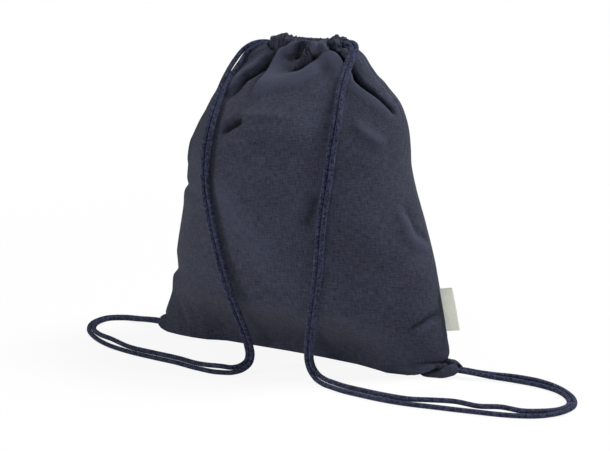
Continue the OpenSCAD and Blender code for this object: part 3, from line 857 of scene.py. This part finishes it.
# The line of the panels on the floor: x, and distance from the bottom seam
FRONT_EDGE = [
    (-180, 7.3), (-164, 9), (-144, 13), (-128, 14), (-110, 13), (-99, 9), (-88, 6), (-60, 6),
    (-13, 6), (30, 8), (69, 12), (96, 19), (128, 29), (146, 22), (160, 13), (180, 7.3),
]
BACK_EDGE = [
    (-180, 7.3), (-160, 9), (-110, 16), (-30, 13), (60, 15), (120, 17), (160, 9), (180, 7.3),
]

PANEL_CELLS = 214, 222        # columns and rows of a panel's mesh
ROW_CROWDING = 1.25           # power that crowds a panel's rows towards its hem
FLOOR_SHARE = 0.03            # share of a panel's rows that lie on the floor
FLOOR_GAP = 0.02 * MM         # how far each panel stays from the other at the bottom seam
SEAM_SHARE = 0.03             # share of a panel's columns over which its seams hold it still
HEM_PROUD = 4.0 * MM          # how far a hem's face stands outside its middle line
TUCK = 0.5 * MM               # how far a panel goes in under its hem

# Heights below the hem over which the panel gets back from its face, from its tuck and from
# its gathers, and the share of the half width over which it does so at the hem's ends
PROUD_FADE, TUCK_FADE, GATHER_FADE = 0.016, 0.0025, 0.020
PROUD_ENDS = 0.12
PLEAT = 1.0 * MM              # how far the wider pleats stand out
PLEAT_FADE = 0.010, 0.036     # how far below the hem they start to fade, and over what height
CALM = 3 * MM                 # depth of a fold that halves the gathers on it

# The puckers along the side seams: how far they stand out, their pitch, the share of the
# columns that they reach, and the height over which they come in from the floor and the hem
PUCKER, PUCKER_PITCH, PUCKER_REACH = 0.7 * MM, 7.5 * MM, 0.035
PUCKER_FROM, PUCKER_FADE = 0.02, 0.03

FRONT_DIP, BACK_DIP = 0.8 * MM, 1.5 * MM      # how much lower the mouth hangs in its middle
DIP_FROM = 0.290                              # height where that starts


def painted_shade_and_highlight(out):
    """From 1 deep in a fold, for painted shade, to -1 on a ridge, for a painted highlight"""
    return ease((-out - MM) / (5 * MM)) - ease((out - 0.8 * MM) / (3.5 * MM))


def dip(points, depth):
    """The drawn mouth hangs lower in its middle than at its ends"""
    s = np.clip((points[:, 0] - SHIFT * MM) / (MOUTH_X * MM), -1, 1)
    rise = ramp(points[:, 2], DIP_FROM, HEM_Z - DIP_FROM)
    return points - (0, 0, 1) * (depth * (1 - s * s) ** 1.5 * rise)[:, None]


def calmed(out):
    """Gathers and pleats die down where a fold moves the cloth"""
    return 1 / (1 + (out / CALM) ** 2)


def gathered(s, drop, calm):
    """How far the gathers below the hem move a panel at a drop from the hem"""
    moved = HEM_PROUD * (1 - ease(drop / PROUD_FADE)) * ease((1 - np.abs(s)) / PROUD_ENDS)
    moved -= TUCK * (1 - ease(drop / TUCK_FADE))
    moved += 0.4 * gather_depth(s) * gathers(s) * (1 - ease(drop / GATHER_FADE)) * calm
    return moved + PLEAT * pleats(s) * (1 - ramp(drop, *PLEAT_FADE)) * calm


def puckered(inside, z):
    """How far the thread of a side seam puckers the cloth at a share inside it"""
    near = np.exp(-((inside / PUCKER_REACH) ** 2))
    near = near * ramp(z, PUCKER_FROM, PUCKER_FADE) * ease((HEM_Z - z) / PUCKER_FADE)
    wave = np.sin(z / PUCKER_PITCH * math.pi + 2.1 * np.sin(z * 41))
    return PUCKER * wave * near


def panel(body, shape, folds, edge, depth):
    """A panel of the front: cut flat, sewn at its sides and gathered at its hem"""
    bm = cloth_grid(*PANEL_CELLS)
    u, v = flat_places(bm)
    lay_uv(bm, shape.cut_width, shape.cut_length)
    up = np.clip((v - FLOOR_SHARE) / (1 - FLOOR_SHARE), 0, 1)
    z = HEM_Z * (1 - (1 - up) ** ROW_CROWDING)
    points, outward = body.wall(u, z, edge), body.outward(u, z, edge)
    inside = np.minimum(u, 1 - u)
    free = ease(inside / SEAM_SHARE)
    bent, out = folded(points, outward, folds, body)
    moved = gathered(2 * u - 1, HEM_Z - z, calmed(out)) + puckered(inside, z)
    points = points + (moved[:, None] * outward + bent) * free[:, None]
    # Painted shade deep in the folds and painted highlight on their ridges, for the cloth's
    # material
    mark(bm, "crease", painted_shade_and_highlight(out) * free)
    points[:, 1] *= np.where(v < FLOOR_SHARE, v / FLOOR_SHARE, 1)
    points[:, 1] = np.minimum(points[:, 1], -FLOOR_GAP * (v > 0))
    return bm, dip(points, depth)


# The hem's section: distance outwards from its middle line and height above its seam
HEM_SECTION = [(3.2, -2.2), (4.0, -0.5), (4.2, 2), (4.3, 5), (4.2, 8), (4.1, 11), (3.7, 13.8),
               (2.3, 16), (0, 16.8), (-2.0, 16.2), (-3.5, 14.2), (-3.7, 11.5), (-3.5, 8.6),
               (-2.6, 6), (-1.3, 4), (-1.1, 2), (-1.0, 0.5)]
HEM_CUT = 0.380, 0.040        # width and length of the cloth in a hem
HEM_COLUMNS, HEM_ROWS = 260, 30
HEM_FACE = 3.4 * MM           # how far outside the middle line the folds meet the hem
HEM_DEEPEST = 1.2 * MM        # how far a fold may press the hem in, onto its cords
HEM_FREE = 12 * MM            # height over which the hem gets free of its seam
HEM_ENDS = 0.06               # share of the half width over which its open ends hold still
HEM_PLEAT = 0.8 * MM          # how far its pleats stand out, and its top edge waves

SEAM_WIDTH, SEAM_THICK, SEAM_GAP = 8.0 * MM, 1.4 * MM, 1.6 * MM
SEAM_CELLS = 6, 150           # columns and rows of a side seam's mesh
SEAM_WAVE, SEAM_WAVES = 0.5 * MM, 260         # how far its free edge waves, and how often

STITCH, STITCH_PITCH, THREAD = 2.2 * MM, 3.0 * MM, 0.5 * MM
STITCH_ROW = 3                # row of the hem's mesh that the stitches follow
STITCH_PROUD = 0.1            # how far they stand out of it, in millimetres
STITCH_ENDS = 6               # columns of that row without a stitch at each end
# The hem's top edge: x, and how far it stands above or below its usual height
FRONT_CREST = [(-34, -4), (-29, -1.5), (-24, 0.5), (-18, 3.2), (-14, 1), (-8, -0.5), (0, -1.2),
               (18, -1.2), (32, -1), (37, 0.5), (40, 2.5), (43, 0.5), (48, -1)]
BACK_CREST = [(-34, -4), (-28, 0), (-23, 2), (-16, -1), (0, -2), (14, -1.5), (26, -1),
              (33, 3), (38, 0), (42, 1.5), (46, -1)]


def hem(body, folds, crest, depth):
    """A hem channel of the front, gathered round the cords and open at both ends"""
    bm = cloth_grid(HEM_COLUMNS, HEM_ROWS)
    u, v = flat_places(bm)
    lay_uv(bm, *HEM_CUT)
    angle = math.asin(EXIT_S) * (2 * u - 1)
    s = np.sin(angle)
    section = smooth(np.array([(*p, 0) for p in HEM_SECTION], float) * MM, 0.4 * MM)
    section = evenly(section, 0.05 * MM)
    out, high = section[np.rint(v * (len(section) - 1)).astype(int), :2].T
    mouth_x, mouth_y = MOUTH_X * MM, MOUTH_Y * MM
    x, y = SHIFT * MM + mouth_x * s, -mouth_y * np.cos(angle)
    away = unit(np.stack([s * mouth_y, -np.cos(angle) * mouth_x], axis=1))
    share = s * MOUTH_X / MOUTH_HALF
    outward = np.hstack([away, 0 * away[:, :1]])
    face = np.stack([x, y, HEM_Z + high], axis=1) + HEM_FACE * outward
    bent, pushed = folded(face, outward, folds, body, HEM_DEEPEST)
    # Painted highlight on the crests of the gathers and pleats, and painted shade and highlight
    # from the folds on the hem's outer face
    crest_highlight = 0.35 * ease(gathers(share) + pleats(share))
    mark(bm, "crease", painted_shade_and_highlight(pushed) * (v < 0.5) - crest_highlight)
    lifted = ease(high / HEM_FREE)
    waved = gather_depth(share) * gathers(share) * (0.4 + 0.5 * lifted) + HEM_PLEAT * pleats(share)
    out = out + np.where(v < 0.5, 1, -1) * waved * calmed(pushed)
    lift = np.interp(x, *np.array(crest, float).T * MM) + HEM_PLEAT * gathers(share * 0.93 + 0.11)
    z = HEM_Z + high + lift * lifted
    points = np.stack([x + out * away[:, 0], y + out * away[:, 1], z], axis=1)
    open_ends = ease((1 - np.abs(2 * u - 1)) / HEM_ENDS)
    return bm, dip(points + bent * open_ends[:, None], depth)


def stitches(line):
    """A row of stitches along a line round the mouth, each pulled into the cloth at its ends"""
    bm = bmesh.new()
    line = evenly(line, STITCH_PITCH)
    out = (line - (SHIFT * MM, 0, 0)) / (MOUTH_X**2, MOUTH_Y**2, 1) * (1, 1, 0)
    for place, way, up in zip(line, along(line), unit(out)):
        turned = Matrix(np.stack([way, unit(np.cross(up, way)), up], axis=1).tolist()).to_4x4()
        size = Matrix.Diagonal((STITCH / 2, THREAD / 2, THREAD / 2, 1))
        put = Matrix.Translation(place + up * STITCH_PROUD * MM)
        bmesh.ops.create_icosphere(bm, subdivisions=1, radius=1, matrix=put @ turned @ size)
    return bm


# ---- The label ----

LABEL_WIDTH, LABEL_LENGTH = 14 * MM, 42 * MM      # the folded label's, before it was sewn in
LABEL_PLY = 0.35 * MM         # thickness of its tape
LABEL_CELLS = 60, 60
LABEL_LOOP = 0.25 * MM        # how far the fold at its outer edge bulges
LABEL_FOLD = 0.06             # share of the tape that goes round that fold
LABEL_APART = 0.45 * MM       # how far each ply stands from the label's middle
LABEL_ROOT = 0.35             # share of that where it is sewn in
LABEL_OPENS = 4 * MM          # distance from the seam over which the plies part
LABEL_FREE = 0.15 * MM        # how far outside the seam it starts
LABEL_BOW, LABEL_CURL = 0.9 * MM, 0.5 * MM        # how far it bows, and its outer edge curls
LABEL_OUT, LABEL_UP = 0.45 * MM, 0.1 * MM         # from the corner of its box to its foot


def label_points(u, v):
    """A tape folded double: both ends in the seam, and the fold at the outer edge"""
    part, ply = np.abs(2 * u - 1), np.sign(2 * u - 1)
    round_fold = part < LABEL_FOLD
    bend = np.clip(part / LABEL_FOLD, 0, 1) * math.pi / 2
    flat = np.clip((part - LABEL_FOLD) / (1 - LABEL_FOLD), 0, 1)
    reach = LABEL_WIDTH - LABEL_LOOP - LABEL_PLY
    out = LABEL_FREE + np.where(round_fold, reach + LABEL_LOOP * np.cos(bend), reach * (1 - flat))
    opened = np.clip(out / LABEL_OPENS, LABEL_ROOT, 1) * np.where(round_fold, np.sin(bend), 1)
    far = out / LABEL_WIDTH
    bow = LABEL_BOW * np.sin(v * math.pi) * far**1.5
    curl = LABEL_CURL * np.sin(v * 5.1 + 0.6) * far**2
    leans, stands = math.sin(LABEL_LEAN), math.cos(LABEL_LEAN)
    foot = (LABEL_FOOT.x + TAPE * leans + LABEL_OUT, 0, LABEL_FOOT.z + LABEL_UP)
    outward, upward = np.array([stands, 0, leans]), np.array([-leans, 0, stands])
    points = foot + out[:, None] * outward + (v * TAPE)[:, None] * upward
    points[:, 1] += ply * LABEL_APART * opened + bow + curl
    return points


# ---- The add-on ----

# The camera: place, turn to the bag's right and rise above the floor in degrees, and lens
CAMERA_PLACE = 0.6374, -1.2947, 0.5166
CAMERA_TURN, CAMERA_RISE = 26.1, 14.7
LENS, SENSOR = 84.9, 36

# Each light: name, place, size and power
LIGHTS = (
    ("key_light", (-1.9, -1.5, 1.4), 0.4, 26),
    ("top_light", (1.1, 0.6, 2.1), 0.8, 58),
    ("fill_light", (1.9, -1.7, 1.0), 2.0, 1),
    ("low_light", (0.4, -1.6, 0.14), 0.24, 3.5),
)
LIGHTS_AIM = 0, 0, 0.16
ROOM_LIGHT = 0.20             # strength of the white room, which the camera sees at 1
FLOOR_HALF = 12


def shape():
    return bpy.context.scene.backpack_shape


def cords():
    return bpy.context.scene.backpack_cords


def finish(name, maker, key):
    """The material of that name, made when it is first wanted"""
    made = bpy.data.materials.get(name)
    return made or maker(name, getattr(bpy.context.scene.backpack_colours, key))


def cloth_finish():
    return finish("navy_cotton", cotton, "cloth")


def cord_finish():
    return finish("navy_braid", braided, "cord")


class BACKPACK_OT_camera(bpy.types.Operator):
    """Place the camera a little above the bag, to its right"""

    bl_idname = "backpack.camera"
    bl_label = "Camera"

    def execute(self, context):
        camera = bpy.data.objects.new("camera", bpy.data.cameras.new("camera"))
        context.scene.collection.objects.link(camera)
        turn, rise = math.radians(CAMERA_TURN), math.radians(CAMERA_RISE)
        away = Vector((math.sin(turn), -math.cos(turn), math.tan(rise)))
        camera.rotation_euler = away.to_track_quat("Z", "Y").to_euler()
        camera.location = CAMERA_PLACE
        camera.data.lens = LENS
        camera.data.sensor_width = SENSOR
        context.scene.camera = camera
        return {"FINISHED"}


class BACKPACK_OT_straps(bpy.types.Operator):
    """Braid the four cord runs that hang from the hem to the bottom corners"""

    bl_idname = "backpack.straps"
    bl_label = "Straps"

    def execute(self, context):
        runs = [
            ("left_strap_front_cord", LEFT_ROUTE, -1, "left_strap_front_run"),
            ("left_strap_back_cord", LEFT_ROUTE, 1, "left_strap_back_run"),
            ("right_strap_front_cord", RIGHT_ROUTE, 1, "right_strap_front_run"),
            ("right_strap_back_cord", RIGHT_ROUTE, -1, "right_strap_back_run"),
        ]
        for name, route, side, node in runs:
            points, ups = strap_cord(route, side, STRAP_STEP)
            bm = braided_tube(points, ups, cords())
            piece = finished(bm, name, cord_finish(), stands_for=[node])
        return {"FINISHED"}


class BACKPACK_OT_hem_cords(bpy.types.Operator):
    """Run both drawstrings through the hem channels, one above the other"""

    bl_idname = "backpack.hem_cords"
    bl_label = "Drawstrings in the hem"

    def execute(self, context):
        for name, side, z in (("left", -1, LOW_CORD), ("right", 1, HIGH_CORD)):
            leave = math.pi - math.asin(EXIT_Y / MOUTH_Y)
            angle = np.linspace(-leave, leave, LOOP_POINTS)
            loop = np.stack([SHIFT - side * MOUTH_X * np.cos(angle), MOUTH_Y * np.sin(angle),
                             0 * angle + z], axis=1)
            end = SHIFT + side * (EXIT_X - HEM_RUN)
            points = np.vstack([[end, -EXIT_Y, z], loop, [end, EXIT_Y, z]]) * MM
            depth = np.where(points[:, 1] < 0, FRONT_DIP, BACK_DIP)
            points = dip(points, depth)
            bm = level_tube(points, cords())
            finished(bm, name + "_hem_cord", cord_finish(),
                     stands_for=[name + "_drawstring_in_hem"])
        return {"FINISHED"}


class BACKPACK_OT_sewn_ends(bpy.types.Operator):
    """Hold the ends of each strap's two cords in its bottom corner"""

    bl_idname = "backpack.sewn_ends"
    bl_label = "Sewn ends"

    def execute(self, context):
        for name, side in (("left", -1), ("right", 1)):
            whole = bmesh.new()
            made = bpy.data.meshes.new("end")
            for y in (-CLOSE / 2, CLOSE / 2):
                x = np.linspace(TIP_X - TIP_RUN, TIP_X - END_GAP - SEWN_LENGTH, END_POINTS)
                points = np.stack([side * x, 0 * x + y, 0 * x + SEWN], axis=1) * MM
                bm = level_tube(points, cords())
                bm.to_mesh(made)
                bm.free()
                whole.from_mesh(made)
            bpy.data.meshes.remove(made)
            finished(whole, name + "_sewn_cord_ends", cord_finish(),
                     stands_for=[name + "_strap_sewn_ends"])
        return {"FINISHED"}


class BACKPACK_OT_panels(bpy.types.Operator):
    """Shape the front and the back panel with their gathers and folds"""

    bl_idname = "backpack.panels"
    bl_label = "Panels"

    def execute(self, context):
        body = Body(shape())
        for name, folds, edge, depth, node in (
            ("front_cloth", FRONT_FOLDS, FRONT_EDGE, FRONT_DIP, "front_panel"),
            ("back_cloth", BACK_FOLDS, BACK_EDGE, BACK_DIP, "back_panel"),
        ):
            bm, points = panel(body, shape(), folds, edge, depth)
            if name == "back_cloth":
                points = turned_over(bm, points)
            move_to(bm, points)
            piece = finished(bm, name, cloth_finish(), stands_for=[node])
            thicken(piece, shape().cloth)
        return {"FINISHED"}


class BACKPACK_OT_hems(bpy.types.Operator):
    """Fold each panel's top edge over the drawstrings"""

    bl_idname = "backpack.hems"
    bl_label = "Hems"

    def execute(self, context):
        body = Body(shape())
        for side, folds, crest, depth in (
            ("front", FRONT_FOLDS, FRONT_CREST, FRONT_DIP),
            ("back", BACK_FOLDS, BACK_CREST, BACK_DIP),
        ):
            bm, points = hem(body, folds, crest, depth)
            v = flat_places(bm)[1]
            if side == "back":
                points = turned_over(bm, points)
            move_to(bm, points)
            piece = finished(bm, side + "_hem", cloth_finish(), stands_for=[side + "_hem_channel"])
            thicken(piece, shape().cloth)
            row = points[np.rint(v * HEM_ROWS) == STITCH_ROW]
            row = row[np.argsort(row[:, 0])][STITCH_ENDS:-STITCH_ENDS]
            thread = finish("navy_thread", spun, "thread")
            sewn = finished(stitches(row), side + "_hem_stitches", thread)
        return {"FINISHED"}


class BACKPACK_OT_seams(bpy.types.Operator):
    """Stand the overlocked cloth edges of the side seams and the bottom seam inside the bag"""

    bl_idname = "backpack.seams"
    bl_label = "Seams"

    def execute(self, context):
        body = Body(shape())
        edge_cloth = finish("seam_cloth", seam_cloth, "cloth")
        for side, share in (("left", -1), ("right", 1)):
            node = side + "_side_seam"
            low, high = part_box(node)
            bm = cloth_grid(*SEAM_CELLS)
            u, v = flat_places(bm)
            z = low.z + (high.z - low.z) * v
            line = body.at(share + 0 * z, z)
            wave = SEAM_WAVE * np.sin(z * SEAM_WAVES) * u
            x = line[:, 0] - share * (SEAM_GAP + SEAM_WIDTH * u)
            move_to(bm, np.stack([x, wave, line[:, 2]], axis=1))
            bmesh.ops.recalc_face_normals(bm, faces=bm.faces)
            piece = finished(bm, side + "_seam_edge", edge_cloth, stands_for=[node])
            thicken(piece, SEAM_THICK, 0.0)
        bottom = bpy.data.objects["bottom_seam"]
        bottom.data.materials.clear()
        bottom.data.materials.append(edge_cloth)
        return {"FINISHED"}


class BACKPACK_OT_label(bpy.types.Operator):
    """Fold the side label from a short length of tape"""

    bl_idname = "backpack.label"
    bl_label = "Side label"

    def execute(self, context):
        bm = cloth_grid(*LABEL_CELLS)
        lay_uv(bm, 2 * LABEL_WIDTH, TAPE)
        move_to(bm, label_points(*flat_places(bm)))
        bmesh.ops.recalc_face_normals(bm, faces=bm.faces)
        piece = finished(bm, "label_tape", finish("cream_tape", tape, "label"), body="label",
                         stands_for=["side_label"])
        thicken(piece, LABEL_PLY, 0.0)
        return {"FINISHED"}


class BACKPACK_OT_stage(bpy.types.Operator):
    """Lay the floor and set up soft studio light"""

    bl_idname = "backpack.stage"
    bl_label = "Stage"

    def execute(self, context):
        bm = bmesh.new()
        bmesh.ops.create_grid(bm, x_segments=1, y_segments=1, size=FLOOR_HALF)
        mesh = bpy.data.meshes.new("floor")
        bm.to_mesh(mesh)
        bm.free()
        floor = bpy.data.objects.new("floor", mesh)
        context.scene.collection.objects.link(floor)
        floor.data.materials.append(finish("pale_floor", studio_floor, "floor"))
        for name, place, size, power in LIGHTS:
            lamp = bpy.data.objects.new(name, bpy.data.lights.new(name, "AREA"))
            context.scene.collection.objects.link(lamp)
            lamp.data.size = size
            lamp.data.energy = power
            lamp.location = place
            aim = Vector(LIGHTS_AIM) - lamp.location
            lamp.rotation_euler = aim.to_track_quat("-Z", "Y").to_euler()
        room = Finish(bpy.data.worlds.new("studio"), "ShaderNodeOutputWorld")
        seen = room.node("ShaderNodeLightPath", output="Is Camera Ray")
        light = {"Color": (1, 1, 1, 1), "Strength": seen * (1 - ROOM_LIGHT) + ROOM_LIGHT}
        context.scene.world = room.end(room.node("ShaderNodeBackground", inputs=light))
        context.scene.view_settings.view_transform = "Standard"
        return {"FINISHED"}


STEPS = (
    BACKPACK_OT_camera, BACKPACK_OT_straps, BACKPACK_OT_hem_cords, BACKPACK_OT_sewn_ends,
    BACKPACK_OT_panels, BACKPACK_OT_hems, BACKPACK_OT_seams, BACKPACK_OT_label,
    BACKPACK_OT_stage,
)


class BACKPACK_PT_sidebar(bpy.types.Panel):
    """Lists the bag's steps"""

    bl_idname = "BACKPACK_PT_sidebar"
    bl_label = "Drawstring Backpack"
    bl_space_type = "VIEW_3D"
    bl_region_type = "UI"
    bl_category = "Backpack"

    def draw(self, context):
        for group in (context.scene.backpack_shape, context.scene.backpack_cords,
                      context.scene.backpack_colours):
            for key in group.__annotations__:
                self.layout.prop(group, key)
        for step in STEPS:
            self.layout.operator(step.bl_idname)


GROUPS = {"backpack_shape": BagShape, "backpack_cords": CordShape, "backpack_colours": Colours}
CLASSES = (*GROUPS.values(), *STEPS, BACKPACK_PT_sidebar)


def register():
    for cls in CLASSES:
        bpy.utils.register_class(cls)
    for name, group in GROUPS.items():
        setattr(bpy.types.Scene, name, PointerProperty(type=group))


def unregister():
    for name in GROUPS:
        delattr(bpy.types.Scene, name)
    for cls in reversed(CLASSES):
        bpy.utils.unregister_class(cls)


def main():
    register()
    for step in STEPS:
        area, name = step.bl_idname.split(".")
        getattr(getattr(bpy.ops, area), name)()
    bpy.context.view_layer.update()


if __name__ == "__main__":
    main()
